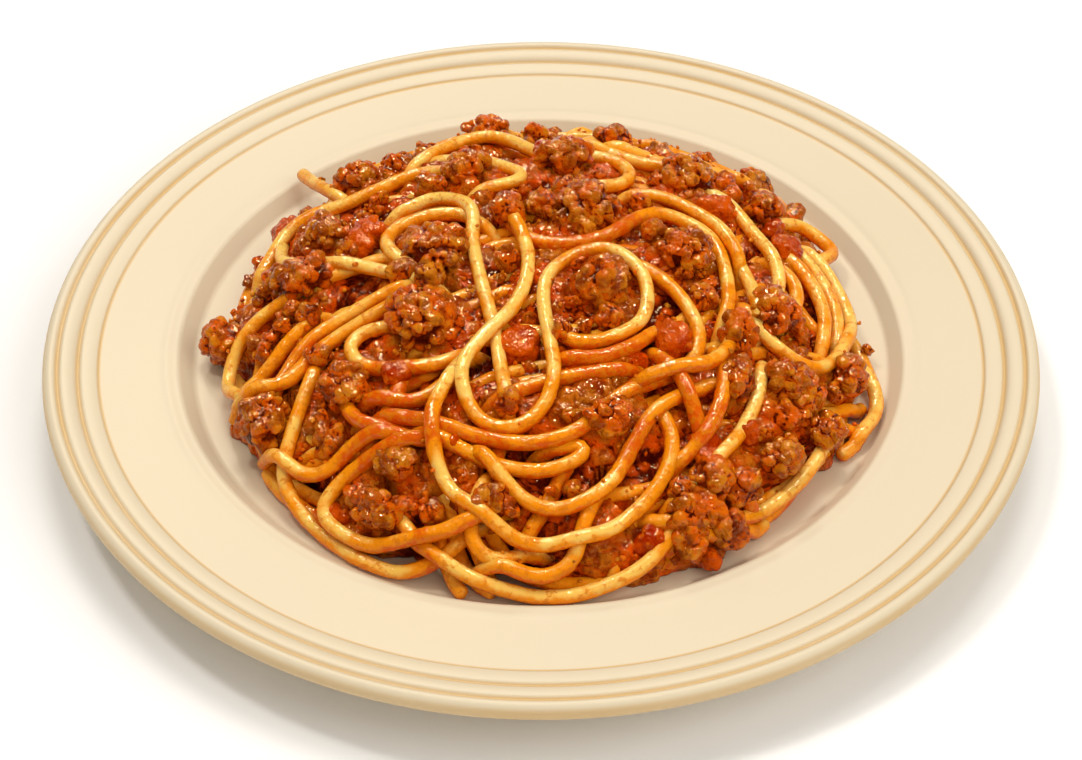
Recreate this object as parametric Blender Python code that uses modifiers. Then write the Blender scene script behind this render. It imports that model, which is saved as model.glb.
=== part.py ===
"""Spaghetti bolognese, heaped in the well of the round rimmed plate that it is served on.

The frame has +Z up and its origin on the table, at the centre of the plate's foot ring.
The sizes below are in millimetres, and MM turns them into Blender's metres.
"""

import math

import bmesh
import bpy
from mathutils import Matrix, Vector, noise

MM = 0.001

# Plate, as radius and height of what a cut through its axis shows.
PLATE_RADIUS = 120.0
PLATE_STEPS = 36
LIP_HEIGHT = 18.0
LIP_ROUNDING = 2.2
WALL_THICKNESS = 4.6
FLOOR_RADIUS = 83.1
FLOOR_HEIGHT = 11.2
DISH_RADIUS = 44.0
DISH_HEIGHT = 9.8
FILLET_RADIUS = 2.4
SHOULDER_RADIUS = 88.6
SHOULDER_HEIGHT = 15.0
SHOULDER_ROUNDING = 2.0
WALL_SLOPE = 46.0
RIM_BAND_RADIUS = 106.2
RIM_BAND_HEIGHT = 15.3
GROOVE_RADII = (111.6, 116.4)
GROOVE_DEPTH = 1.0
GROOVE_HALF_WIDTH = 0.8
RIDGE_SWELL = 0.5
FOOT_INNER_RADIUS = 61.0
FOOT_OUTER_RADIUS = 66.0
FOOT_RECESS = 4.4

# Heap of noodles, sauce and mince.
HEAP_HALF_WIDTH = 80.0
HEAP_HALF_DEPTH = 81.0
HEAP_CENTRE = (0.5, -1.5)
HEAP_EDGE_HEIGHT = 12.8
HEAP_RISE = 29.0
HEAP_BULGE = 2.0
HEAP_SEGMENTS = 34
HEAP_RINGS = 13
HEAP_LUMP = 3.2
HEAP_LUMP_LENGTH = 12.0
CLEARANCE = 0.4

# Pieces on the heap: across, away, length, width and turn from the X axis in degrees.
PIECE_THICKNESS = 0.8
PIECE_UNEVENNESS = 0.13
PIECE_SINK = 0.12
MINCE_CLUMPS = (
    (-26, 4, 17, 15, 20),
    (-28, -18, 16, 15, 70),
    (12, 21, 18, 14, 10),
    (34, 6, 14, 13, 80),
    (14, -8, 14, 13, 40),
    (-65, -37, 16, 12, 100),
    (-58, 3, 15, 11, 10),
    (-53, 20, 12, 9, 75),
    (-19, 41, 12, 10, 0),
    (6, 46, 15, 11, 0),
    (19, 62, 9, 8, 30),
    (37, 41, 14, 11, 150),
    (55, 33, 10, 9, 120),
    (56, -11, 14, 12, 110),
    (46, -20, 11, 9, 90),
    (58, -30, 12, 10, 30),
    (73, -21, 10, 9, 90),
    (67, -39, 10, 9, 60),
    (35, -67.5, 15, 10, 20),
    (46, -59.5, 10, 8, 45),
    (55, -50.5, 11, 9, 50),
    (-37, -66.5, 14, 9, 160),
    (-46, -36, 13, 11, 60),
    (45, -34, 11, 9, 100),
    (16, -48.5, 11, 9, 20),
    (-10, -68.5, 13, 8, 0),
    (-33, -57.5, 11, 8, 170),
    (-47, 48, 11, 9, 40),
    (-14, 66, 12, 9, 170),
    (56, 52, 10, 8, 140),
)
TOMATO_PIECES = (
    (-43, 16, 13, 9, 80),
    (44, 28, 12, 9, 0),
    (61, 18, 9, 8, 30),
    (31, -24, 11, 9, 90),
    (38, -53.5, 10, 7, 110),
    (26, -74.5, 10, 8, 20),
    (-5, -27, 11, 9, 80),
    (-49, -64.5, 9, 8, 150),
    (-66, 36, 10, 8, 60),
)
WALL_CLUMP = (-76.5, -4.7, 16.5)
WALL_CLUMP_SIZE = (10.0, 12.0, 9.5)


def material(name, colour, roughness):
    """A Principled material; colour is linear RGB."""
    made = bpy.data.materials.new(name)
    made.use_nodes = True
    shader = made.node_tree.nodes["Principled BSDF"]
    shader.inputs["Base Color"].default_value = (*colour, 1.0)
    shader.inputs["Roughness"].default_value = roughness
    shader.inputs["Metallic"].default_value = 0.0
    return made


def add_object(name, mesh, collection, finish=None):
    made = bpy.data.objects.new(name, mesh)
    collection.objects.link(made)
    if finish is not None:
        mesh.materials.append(finish)
        mesh.shade_smooth()
        mesh.set_sharp_from_angle(angle=math.radians(50))
    return made


def arc(centre_r, centre_z, radius, start, end, count):
    """Points on an arc of the plate's section, with start and end in degrees from outwards."""
    angles = [math.radians(start + (end - start) * i / count) for i in range(count + 1)]
    return [(centre_r + radius * math.cos(a), centre_z + radius * math.sin(a)) for a in angles]


def well_wall():
    """From the edge of the well's floor, round the fillet, up the low wall and over the shoulder."""
    lower = arc(FLOOR_RADIUS, FLOOR_HEIGHT + FILLET_RADIUS, FILLET_RADIUS, -90, WALL_SLOPE - 90, 4)
    centre_z = SHOULDER_HEIGHT - SHOULDER_ROUNDING
    upper = arc(SHOULDER_RADIUS, centre_z, SHOULDER_ROUNDING, 90 + WALL_SLOPE, 90, 3)
    return lower + upper


def band_height(radius):
    """Height of the raised band at the rim's edge, without its grooves."""
    share = (radius - RIM_BAND_RADIUS) / (PLATE_RADIUS - LIP_ROUNDING - RIM_BAND_RADIUS)
    return RIM_BAND_HEIGHT + share * (LIP_HEIGHT - RIM_BAND_HEIGHT)


def rim_band():
    """The two swelling ridges with a groove outside each."""
    points = []
    inner = RIM_BAND_RADIUS
    for groove in GROOVE_RADII:
        middle = (inner + groove - GROOVE_HALF_WIDTH) / 2
        points.append((inner, band_height(inner)))
        points.append((middle, band_height(middle) + RIDGE_SWELL))
        outer = groove - GROOVE_HALF_WIDTH
        points.append((outer, band_height(outer)))
        points.append((groove, band_height(groove) - GROOVE_DEPTH))
        inner = groove + GROOVE_HALF_WIDTH
    points.append((inner, band_height(inner)))
    return points


def plate_profile():
    """The section's outline, from the middle of the well over the lip to the middle of the underside."""
    lip_z = LIP_HEIGHT - LIP_ROUNDING
    lip = arc(PLATE_RADIUS - LIP_ROUNDING, lip_z, LIP_ROUNDING, 90, -90, 4)
    under_shoulder = (SHOULDER_RADIUS + 1.5, SHOULDER_HEIGHT - WALL_THICKNESS)
    under_wall = (FLOOR_RADIUS - 1.0, FLOOR_HEIGHT - WALL_THICKNESS)
    foot_top = (FOOT_OUTER_RADIUS + 3.0, FOOT_RECESS - 0.5)
    foot = [
        (FOOT_OUTER_RADIUS, 0.0),
        (FOOT_INNER_RADIUS, 0.0),
        (FOOT_INNER_RADIUS - 2.0, FOOT_RECESS),
    ]
    inside = [(0.0, DISH_HEIGHT), (DISH_RADIUS, DISH_HEIGHT)] + well_wall()
    outside = rim_band() + lip
    return inside + outside + [under_shoulder, under_wall, foot_top] + foot + [(0.0, FOOT_RECESS)]


def build_plate(collection, finish):
    points = plate_profile()
    mesh = bpy.data.meshes.new("plate")
    edges = [(i, i + 1) for i in range(len(points) - 1)]
    mesh.from_pydata([(r * MM, 0.0, z * MM) for r, z in points], edges, [])
    plate = add_object("plate", mesh, collection, finish)
    turn = plate.modifiers.new("turn", "SCREW")
    turn.axis = "Z"
    turn.steps = PLATE_STEPS
    turn.render_steps = PLATE_STEPS
    turn.use_merge_vertices = True
    turn.merge_threshold = 0.00001
    return plate


def plate_top(radius):
    """Height of the plate's upper face inside the well, and of its shoulder outside it."""
    wall = [(0.0, DISH_HEIGHT), (DISH_RADIUS, DISH_HEIGHT)] + well_wall()
    for (near_r, near_z), (far_r, far_z) in zip(wall, wall[1:]):
        if near_r <= radius < far_r:
            return near_z + (far_z - near_z) * (radius - near_r) / (far_r - near_r)
    return SHOULDER_HEIGHT


def heap_height(x, y):
    """Height of the heap's even outline over a point of the plate."""
    across = (x - HEAP_CENTRE[0]) / HEAP_HALF_WIDTH
    away = (y - HEAP_CENTRE[1]) / HEAP_HALF_DEPTH
    share = min(math.hypot(across, away), 1.0)
    return HEAP_EDGE_HEIGHT + HEAP_RISE * (1 - share**HEAP_BULGE) ** (1 / HEAP_BULGE)


def heap_normal(x, y):
    """Outward direction of the heap's even outline over a point of the plate."""
    step = 0.5
    slope_x = (heap_height(x + step, y) - heap_height(x - step, y)) / (2 * step)
    slope_y = (heap_height(x, y + step) - heap_height(x, y - step)) / (2 * step)
    return Vector((-slope_x, -slope_y, 1.0)).normalized()


def heap_point(direction):
    """Moves a point of a unit sphere to the heap's surface: a lumpy dome on a base that follows the well."""
    level = math.hypot(direction.x, direction.y)
    share = level ** (2 / HEAP_BULGE)
    turn = math.atan2(direction.y, direction.x)
    x = HEAP_CENTRE[0] + HEAP_HALF_WIDTH * share * math.cos(turn)
    y = HEAP_CENTRE[1] + HEAP_HALF_DEPTH * share * math.sin(turn)
    if direction.z < -0.01:
        return Vector((x, y, plate_top(math.hypot(x, y)) + CLEARANCE))
    point = Vector((x, y, heap_height(x, y)))
    lump = noise.noise(point / HEAP_LUMP_LENGTH) * HEAP_LUMP
    return point + heap_normal(x, y) * lump * min(direction.z * 3, 1.0)


def build_heap(collection, finish):
    shape = bmesh.new()
    bmesh.ops.create_uvsphere(
        shape, u_segments=HEAP_SEGMENTS, v_segments=HEAP_RINGS, radius=1.0
    )
    for vertex in shape.verts:
        vertex.co = heap_point(vertex.co) * MM
    mesh = bpy.data.meshes.new("spaghetti")
    shape.to_mesh(mesh)
    shape.free()
    return add_object("spaghetti", mesh, collection, finish)


def piece_mesh(name, size, seed, growth):
    """A knobbly lump inside a box of the given size; growth enlarges it about its middle."""
    shape = bmesh.new()
    bmesh.ops.create_icosphere(shape, subdivisions=2, radius=1.0)
    for vertex in shape.verts:
        knob = noise.noise(vertex.co * 1.3 + Vector((seed * 7.3, 0.0, 0.0)))
        radius = 1 + PIECE_UNEVENNESS * knob * 2
        vertex.co = Vector(c * radius * s / 2 for c, s in zip(vertex.co, size)) * growth * MM
    mesh = bpy.data.meshes.new(name)
    shape.to_mesh(mesh)
    shape.free()
    return mesh


def lift_off_plate(mesh, pose):
    """The pose, raised where the piece would otherwise reach into the plate."""
    sunk = 0.0
    for vertex in mesh.vertices:
        point = pose @ vertex.co / MM
        floor = plate_top(math.hypot(point.x, point.y)) + CLEARANCE
        sunk = max(sunk, floor - point.z)
    return Matrix.Translation((0, 0, sunk * MM)) @ pose


def lay_piece(name, place, normal, turn, size, seed, heap, collections, finish):
    """One lump of food, and the socket that keeps the heap clear of it."""
    parts, cutters = collections
    upright = Vector((0, 0, 1)).rotation_difference(normal).to_matrix().to_4x4()
    spin = Matrix.Rotation(math.radians(turn), 4, "Z")
    growth = 1 + 2 * CLEARANCE / min(size)
    piece = add_object(name, piece_mesh(name, size, seed, 1.0), parts, finish)
    pose = lift_off_plate(piece.data, Matrix.Translation(place * MM) @ upright @ spin)
    socket = add_object(name + "_socket", piece_mesh(name + "_socket", size, seed, growth), cutters)
    socket.hide_render = True
    socket.display_type = "WIRE"
    piece.matrix_world = pose
    socket.matrix_world = pose
    cut = heap.modifiers.new(name, "BOOLEAN")
    cut.operation = "DIFFERENCE"
    cut.solver = "EXACT"
    cut.object = socket


def lay_pieces(kind, rows, heap, collections, finish):
    for number, (x, y, length, width, turn) in enumerate(rows, start=1):
        thickness = PIECE_THICKNESS * width
        normal = heap_normal(x, y)
        place = Vector((x, y, heap_height(x, y))) - normal * thickness * PIECE_SINK
        size = (length, width, thickness)
        name = f"{kind}_{number:02d}"
        seed = number + len(kind)
        lay_piece(name, place, normal, turn, size, seed, heap, collections, finish)


def main():
    for leftover in list(bpy.data.objects):
        bpy.data.objects.remove(leftover)
    parts = bpy.data.collections.new("spaghetti_bolognese")
    cutters = bpy.data.collections.new("cutters")
    for made in (parts, cutters):
        bpy.context.scene.collection.children.link(made)
    glaze = material("ivory_glaze", (0.86, 0.76, 0.56), 0.25)
    pasta = material("sauced_pasta", (0.72, 0.27, 0.05), 0.35)
    mince = material("browned_mince", (0.30, 0.08, 0.02), 0.45)
    tomato = material("stewed_tomato", (0.52, 0.05, 0.01), 0.3)
    build_plate(parts, glaze)
    heap = build_heap(parts, pasta)
    collections = (parts, cutters)
    lay_pieces("mince_clump", MINCE_CLUMPS, heap, collections, mince)
    lay_pieces("tomato_piece", TOMATO_PIECES, heap, collections, tomato)
    name = f"mince_clump_{len(MINCE_CLUMPS) + 1:02d}"
    outwards = Vector((-1.0, 0.0, 0.3)).normalized()
    place = Vector(WALL_CLUMP)
    lay_piece(name, place, outwards, 0.0, WALL_CLUMP_SIZE, 1, heap, collections, mince)


main()
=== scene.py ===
"""Looks of a plate of spaghetti bolognese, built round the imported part.

Lengths are in millimetres and MM turns them into Blender's metres. The noodles are laid one by
one, each resting on what already lies under it.
"""

import math
from itertools import product

import bmesh
import bpy
import numpy as np
from mathutils import Euler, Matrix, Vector


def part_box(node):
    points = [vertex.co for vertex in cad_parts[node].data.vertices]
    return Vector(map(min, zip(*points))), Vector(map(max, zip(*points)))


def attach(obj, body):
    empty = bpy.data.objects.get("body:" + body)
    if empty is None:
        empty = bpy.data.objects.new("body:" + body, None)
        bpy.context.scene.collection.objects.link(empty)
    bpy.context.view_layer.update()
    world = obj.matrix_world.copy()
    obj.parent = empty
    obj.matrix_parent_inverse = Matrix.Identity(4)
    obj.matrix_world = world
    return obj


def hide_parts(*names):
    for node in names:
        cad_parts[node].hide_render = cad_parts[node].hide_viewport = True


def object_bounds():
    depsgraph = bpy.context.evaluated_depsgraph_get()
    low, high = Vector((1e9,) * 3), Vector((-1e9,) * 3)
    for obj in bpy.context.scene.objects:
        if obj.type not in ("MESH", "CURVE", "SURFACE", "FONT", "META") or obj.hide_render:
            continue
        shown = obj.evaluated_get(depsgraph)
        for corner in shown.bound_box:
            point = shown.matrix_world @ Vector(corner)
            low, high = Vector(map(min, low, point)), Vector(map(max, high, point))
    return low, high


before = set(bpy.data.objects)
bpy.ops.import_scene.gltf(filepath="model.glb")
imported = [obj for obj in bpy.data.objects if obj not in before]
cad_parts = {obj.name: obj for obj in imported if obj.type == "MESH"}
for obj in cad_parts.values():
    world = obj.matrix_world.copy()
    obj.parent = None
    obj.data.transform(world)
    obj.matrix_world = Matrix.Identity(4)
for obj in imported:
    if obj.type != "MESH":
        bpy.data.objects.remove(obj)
CAD_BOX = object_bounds()

MM = 0.001
RNG = np.random.default_rng(11)

# Plate, as radius and height of a cut through its axis.
PLATE_STEPS = 320
PLATE_RADIUS = 120.0
LIP_HEIGHT = 18.0
LIP_ROUNDING = 2.2
WALL_THICKNESS = 4.6
FLOOR_RADIUS = 83.1
FLOOR_HEIGHT = 11.2
DISH_RADIUS = 44.0
DISH_HEIGHT = 9.8
FILLET_RADIUS = 2.4
SHOULDER_RADIUS = 88.6
SHOULDER_HEIGHT = 15.0
SHOULDER_ROUNDING = 2.0
WALL_SLOPE = 46.0
BAND_RADIUS = 106.2
BAND_HEIGHT = 15.3
GROOVES = (111.6, 116.4)
GROOVE_DEPTH = 0.6
GROOVE_WIDTH = 0.7
RIDGE_SWELL = 0.35
FOOT_INNER, FOOT_OUTER, FOOT_RECESS = 61.0, 66.0, 4.4

# Heap: the noodles' tops follow a dome, and a smaller core of sauce fills its inside.
NOODLE_RADIUS = 1.66
DOME_BASE = 11.2
DOME_RISE = 30.4
DOME_BULGE = 2.0
CORE_DEPTH = 7.5
# Gaps left above the plate's glaze: under noodles and the mass of mince, and under lumps.
NOODLE_GAP = 0.15
LUMP_GAP = 0.2
# How far granules keep from the noodles on show, and the share of the ground that these may take up.
GRANULE_MARGIN = 2.4
SHARE_COVERED = 0.04
# Length of the noodles laid by chance, below the ones on show and behind them, and where the heap's
# rear begins.
UNDER_LENGTH = 4600
REAR_LENGTH = 1300
REAR = 44


def heap_frame():
    """Middle and half widths of the heap. Its crown lies a little to the right."""
    low, high = (np.array(corner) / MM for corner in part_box("spaghetti"))
    middle = (low + high) / 2 + (0.5, 0.0, 0.0)
    return middle[:2], (high - low)[:2] / 2


CENTRE, HALF = heap_frame()


# ---- numbers


def hashed(cell):
    """A whole number for each whole-numbered cell."""
    return (cell[:, 0] * 73856093) ^ (cell[:, 1] * 19349663) ^ (cell[:, 2] * 83492791)


def grain(points, scale, seed=0):
    """Smooth noise from -1 to 1 at each point, with features of the given size."""
    place = points / scale + seed * 7.31
    base = np.floor(place).astype(np.int64)
    share = place - base
    share = share * share * (3 - 2 * share)
    total = np.zeros(len(points))
    for corner in product((0, 1), repeat=3):
        code = hashed(base + corner)
        code = (code ^ (code >> 13)) * 1274126177 & 0x7FFFFFFF
        code = (code ^ (code >> 16)) * 668265263 & 0x7FFFFFFF
        weight = np.prod(np.where(corner, share, 1 - share), axis=1)
        total += weight * (code / 0x3FFFFFFF - 1)
    return total


def scrambled(cell, seed):
    """A number from 0 to 1 for each whole-numbered cell."""
    code = (hashed(cell) + seed * 2654435) * 1274126177 & 0x7FFFFFFF
    code = (code ^ (code >> 15)) * 668265263 & 0x7FFFFFFF
    return (code ^ (code >> 13)) / 0x7FFFFFFF


def pebbles(points, size, seed=0):
    """Height of balls strewn one to a cell through space, a shade for each, and the creases."""
    place = points / size
    base = np.floor(place).astype(np.int64)
    best = np.full(len(points), -9.0)
    second = best
    shade = np.zeros(len(points))
    for offset in product((-1, 0, 1), repeat=3):
        cell = base + offset
        centre = cell + np.stack([scrambled(cell, seed + k) for k in (1, 2, 3)], 1)
        radius = 0.5 + 0.4 * scrambled(cell, seed + 4)
        cap = radius**2 - ((place - centre) ** 2).sum(axis=1)
        nearer = cap > best
        second = np.where(nearer, best, np.maximum(second, cap))
        best = np.where(nearer, cap, best)
        shade = np.where(nearer, scrambled(cell, seed + 5), shade)
    best, second = (size * np.sqrt(np.clip(v, 0, None)) for v in (best, second))
    return best, shade, np.clip(1 - (best - second) / 0.45, 0, 1) * (second > 0)


def bent(points, amount, scale, seed=0):
    """The points pushed about, so that what is drawn on them loses its roundness."""
    push = [grain(points, scale, seed + k) for k in (1, 2, 3)]
    return points + amount * np.stack(push, 1)


def unit(vectors):
    return vectors / np.maximum(np.linalg.norm(vectors, axis=-1, keepdims=True), 1e-9)


def reach(x, y, inset=0.0):
    """0 in the middle of the heap and 1 at its edge, or at its edge drawn in by an inset."""
    return np.hypot((x - CENTRE[0]) / (HALF[0] - inset), (y - CENTRE[1]) / (HALF[1] - inset))


def dome(x, y, inset=0.0):
    """Height of the heap's outline over a point, or of the outline shrunk by an inset."""
    level = np.clip(reach(x, y, inset), 0, 1)
    share = np.clip(1 - level**DOME_BULGE, 0, 1) ** (1 / DOME_BULGE)
    return DOME_BASE + (DOME_RISE - inset) * share


def dome_normal(x, y):
    step = 0.4
    slope_x = (dome(x + step, y) - dome(x - step, y)) / (2 * step)
    slope_y = (dome(x, y + step) - dome(x, y - step)) / (2 * step)
    return unit(np.column_stack([-slope_x, -slope_y, np.ones_like(slope_x)]))


# ---- plate


def arc(centre_r, centre_z, radius, start, end, count):
    angles = np.radians(np.linspace(start, end, count + 1))
    return np.stack([centre_r + radius * np.cos(angles), centre_z + radius * np.sin(angles)], 1)


def well_wall():
    lower = arc(
        FLOOR_RADIUS, FLOOR_HEIGHT + FILLET_RADIUS, FILLET_RADIUS, -90, WALL_SLOPE - 90, 12
    )
    centre_z = SHOULDER_HEIGHT - SHOULDER_ROUNDING
    upper = arc(SHOULDER_RADIUS, centre_z, SHOULDER_ROUNDING, 90 + WALL_SLOPE, 90, 10)
    return np.concatenate([lower, upper])


WALL = well_wall()


def plate_top(x, y):
    radius = np.concatenate([[0, DISH_RADIUS], WALL[:, 0]])
    height = np.concatenate([[DISH_HEIGHT, DISH_HEIGHT], WALL[:, 1]])
    return np.interp(np.hypot(x, y), radius, height)


def band_height(radius):
    share = (radius - BAND_RADIUS) / (PLATE_RADIUS - LIP_ROUNDING - BAND_RADIUS)
    return BAND_HEIGHT + share * (LIP_HEIGHT - BAND_HEIGHT)


def rim_band():
    """Two soft ridges, with a rounded groove outside each."""
    radius = np.arange(BAND_RADIUS, PLATE_RADIUS - LIP_ROUNDING, 0.22)
    height = band_height(radius)
    inner = BAND_RADIUS
    for groove in GROOVES:
        share = np.clip((radius - inner) / (groove - GROOVE_WIDTH - inner), 0, 1)
        height = height + RIDGE_SWELL * np.sin(np.pi * share) ** 0.8
        inner = groove + GROOVE_WIDTH
        height = height - GROOVE_DEPTH * np.exp(-(((radius - groove) / GROOVE_WIDTH) ** 2) * 1.6)
    height = height - 0.25 * np.exp(-(((radius - BAND_RADIUS - 0.5) / 0.35) ** 2))
    return np.stack([radius, height], 1)


def plate_profile():
    lip = arc(PLATE_RADIUS - LIP_ROUNDING, LIP_HEIGHT - LIP_ROUNDING, LIP_ROUNDING, 90, -90, 14)
    under = [
        (SHOULDER_RADIUS + 1.5, SHOULDER_HEIGHT - WALL_THICKNESS),
        (FLOOR_RADIUS - 1.0, FLOOR_HEIGHT - WALL_THICKNESS),
        (FOOT_OUTER + 3.0, FOOT_RECESS - 0.5),
        (FOOT_OUTER, 0.15),
        (FOOT_OUTER - 0.6, 0.0),
        (FOOT_INNER + 0.6, 0.0),
        (FOOT_INNER, 0.15),
        (FOOT_INNER - 2.0, FOOT_RECESS),
        (0.0, FOOT_RECESS),
    ]
    floor = [(r, float(plate_top(r, 0.0))) for r in (0.0, 22.0, DISH_RADIUS, 50.0, 60.0, 70.0, 78.0)]
    rim = [
        (r, SHOULDER_HEIGHT + 0.3 * (r - 89) / 17 + 0.22 * math.exp(-(((r - 90.6) / 1.1) ** 2)))
        for r in (89.2, 89.8, 90.4, 91.0, 91.6, 92.4, 93.4, 96.0, 99.0, 102.0, 105.0)
    ]
    return np.concatenate([floor, WALL, rim, rim_band(), lip, under])


def placed(data):
    """An object in the scene that shows the data and has its name."""
    made = bpy.data.objects.new(data.name, data)
    bpy.context.scene.collection.objects.link(made)
    return made


def add_object(mesh, finish):
    made = placed(mesh)
    mesh.materials.append(finish)
    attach(made, "root")
    return made


def make_mesh(name, points, polygons, values=None, corners=None):
    """A smooth mesh from arrays in millimetres, with an array of faces for each number of sides.

    values are kept on its points by name, and corners are the faces' places on the UV map.
    """
    mesh = bpy.data.meshes.new(name)
    mesh.vertices.add(len(points))
    mesh.vertices.foreach_set("co", (points * MM).astype(np.float32).ravel())
    loops = np.concatenate([faces.ravel() for faces in polygons])
    sides = np.concatenate([np.full(len(faces), faces.shape[1]) for faces in polygons])
    mesh.loops.add(len(loops))
    mesh.loops.foreach_set("vertex_index", loops.astype(np.int32))
    mesh.polygons.add(len(sides))
    mesh.polygons.foreach_set("loop_start", (np.cumsum(sides) - sides).astype(np.int32))
    for key, data in (values or {}).items():
        layer = mesh.attributes.new(key, "FLOAT", "POINT")
        layer.data.foreach_set("value", data.astype(np.float32))
    if corners is not None:
        layer = mesh.uv_layers.new(name="OFBake")
        layer.data.foreach_set("uv", np.concatenate([c.ravel() for c in corners]).astype(np.float32))
    mesh.update(calc_edges=True)
    mesh.shade_smooth()
    return mesh


def build_plate(finish):
    profile = plate_profile()
    mesh = bpy.data.meshes.new("plate_glazed")
    edges = [(i, i + 1) for i in range(len(profile) - 1)]
    mesh.from_pydata([(r * MM, 0.0, z * MM) for r, z in profile], edges, [])
    plate = add_object(mesh, finish)
    turn = plate.modifiers.new("turn", "SCREW")
    turn.axis = "Z"
    turn.steps = turn.render_steps = PLATE_STEPS
    turn.use_merge_vertices = True
    turn.merge_threshold = 0.00001
    turn.use_smooth_shade = True
    sharp = plate.modifiers.new("crisp", "EDGE_SPLIT")
    sharp.split_angle = math.radians(60)
    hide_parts("plate")


# ---- what lies where

CELL = 0.5
SPAN = 106.0
AXIS = np.arange(-SPAN, SPAN + CELL / 2, CELL)
GRID_X, GRID_Y = np.meshgrid(AXIS, AXIS, indexing="ij")
TOP = np.maximum(plate_top(GRID_X, GRID_Y), dome(GRID_X, GRID_Y, CORE_DEPTH))


# How low the middles of the noodles on show lie over each cell, or UNCOVERED.
UNCOVERED = 99.0
SHOWN_LEVEL = np.full_like(TOP, UNCOVERED)


def cells(points):
    index = np.rint((points[:, :2] + SPAN) / CELL).astype(int)
    return np.clip(index, 8, len(AXIS) - 9).T


def footprint(points, radius):
    """Cells under a ball at each point, and how far its surface is from the level of its middle."""
    steps = int(radius / CELL) + 1
    line = np.arange(-steps, steps + 1)
    i, j = (a.ravel() for a in np.meshgrid(line, line, indexing="ij"))
    inside = (i**2 + j**2) * CELL**2 < radius**2
    i, j = i[inside], j[inside]
    row, column = cells(points)
    return (row[:, None] + i, column[:, None] + j), np.sqrt(radius**2 - (i**2 + j**2) * CELL**2)


# Share of a soft thing's radius that keeps what lies under it away.
FIRMNESS = 0.85


def contact(points, radius):
    """Height of a ball's middle where it touches what lies under it. Soft things sit closer."""
    under, cap = footprint(points, radius * FIRMNESS)
    return (TOP[under] + cap + radius * (1 - FIRMNESS)).max(axis=1)


def stamp(points, radius):
    """Adds balls to what lies on the plate."""
    under, cap = footprint(points, radius)
    np.maximum.at(TOP, under, points[:, 2:3] + cap)


def smoothed(values, passes):
    for _ in range(passes):
        inner = (values[:-2] + 2 * values[1:-1] + values[2:]) / 4
        values = np.concatenate([values[:1], inner, values[-1:]])
    return values


def resample(points, step):
    lengths = np.linalg.norm(np.diff(points, axis=0), axis=1)
    along = np.concatenate([[0], np.cumsum(lengths)])
    count = max(int(round(along[-1] / step)), 2)
    places = np.linspace(0, along[-1], count + 1)
    return np.stack([np.interp(places, along, points[:, k]) for k in range(points.shape[1])], 1)


def flowing(marks, step=1.0):
    """A smooth route through its marks."""
    marks = np.array(marks, float)
    ends = np.concatenate([[2 * marks[0] - marks[1]], marks, [2 * marks[-1] - marks[-2]]])
    share = np.linspace(0, 1, 12, endpoint=False)[:, None]
    runs = []
    for a, b, c, d in zip(ends, ends[1:], ends[2:], ends[3:]):
        square, cube = 2 * a - 5 * b + 4 * c - d, 3 * b - a - 3 * c + d
        runs.append(0.5 * (2 * b + (c - a) * share + square * share**2 + cube * share**3))
    route = resample(np.concatenate(runs + [marks[-1:]]), step)
    return smoothed(route, 8)


# How many points of a noodle share a bend, and how far it sinks into what is under it.
STIFFNESS = 20
SINK = 0.35


def settle(route, floor=None, taut=60):
    """Lays a route down: it touches what is under it and bridges the dips."""
    need = contact(route, NOODLE_RADIUS)
    if floor is not None:
        need = np.maximum(need, floor)
    height = need.copy()
    for _ in range(taut):
        height[1:-1] = np.maximum(need[1:-1], (height[:-2] + height[2:]) / 2)
    height = np.pad(height, STIFFNESS, mode="edge")
    height = smoothed(height, STIFFNESS)[STIFFNESS:-STIFFNESS] - SINK
    return np.column_stack([route[:, :2], np.maximum(height, lowest(route))])


def lowest(route):
    """Height of a noodle's middle where it lies on the plate."""
    return plate_top(*route.T[:2]) + NOODLE_RADIUS + NOODLE_GAP


NOODLES = []


def lay(path, tone, coat):
    stamp(resample(path, 0.6), NOODLE_RADIUS)
    NOODLES.append((path, tone, coat))


# How sharply a wandering noodle bends, how far apart its bends are, how sharply it may turn at the
# heap's edge, and how wide that edge is.
BEND = 0.045
KNOT = 14
SHARPEST_TURN = 0.14
EDGE = 0.12


def wander(start, heading, length, limit):
    """A route that drifts about the heap and turns along its edge."""
    knots = RNG.normal(0, BEND, int(length / KNOT) + 3)
    drift = np.interp(np.arange(length) / KNOT, np.arange(len(knots)), knots)
    x, y = start
    route = []
    for turn in drift:
        route.append((x, y))
        x += math.cos(heading)
        y += math.sin(heading)
        level = math.hypot((x - CENTRE[0]) / HALF[0], (y - CENTRE[1]) / HALF[1])
        if level > limit - EDGE:
            out = math.atan2(y - CENTRE[1], x - CENTRE[0])
            side = 1 if math.sin(heading - out) > 0 else -1
            wanted = out + side * (math.pi / 2 + (level - limit) * 6)
            miss = (wanted - heading + math.pi) % (2 * math.pi) - math.pi
            pull = min((level - limit + EDGE) / EDGE, 1.6)
            steer = max(-SHARPEST_TURN, min(SHARPEST_TURN, miss * 0.25))
            heading += steer * pull + turn * (1 - min(pull, 1))
        else:
            heading += turn
    return np.array(route)


def shifted(route, offset):
    """The route moved sideways, to run beside itself."""
    ahead = unit(np.gradient(route, axis=0))
    side = np.stack([-ahead[:, 1], ahead[:, 0]], 1)
    return smoothed(route + side * np.reshape(offset, (-1, 1)), 6)


# Fewest points of a noodle that is kept, how many bundles are tried, and how many routes for each.
SHORTEST = 26
MOST_ATTEMPTS = 600
ROUTES_TRIED = 7
# How far apart the noodles of a bundle lie.
STRAND_GAP = 2.06 * NOODLE_RADIUS


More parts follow.
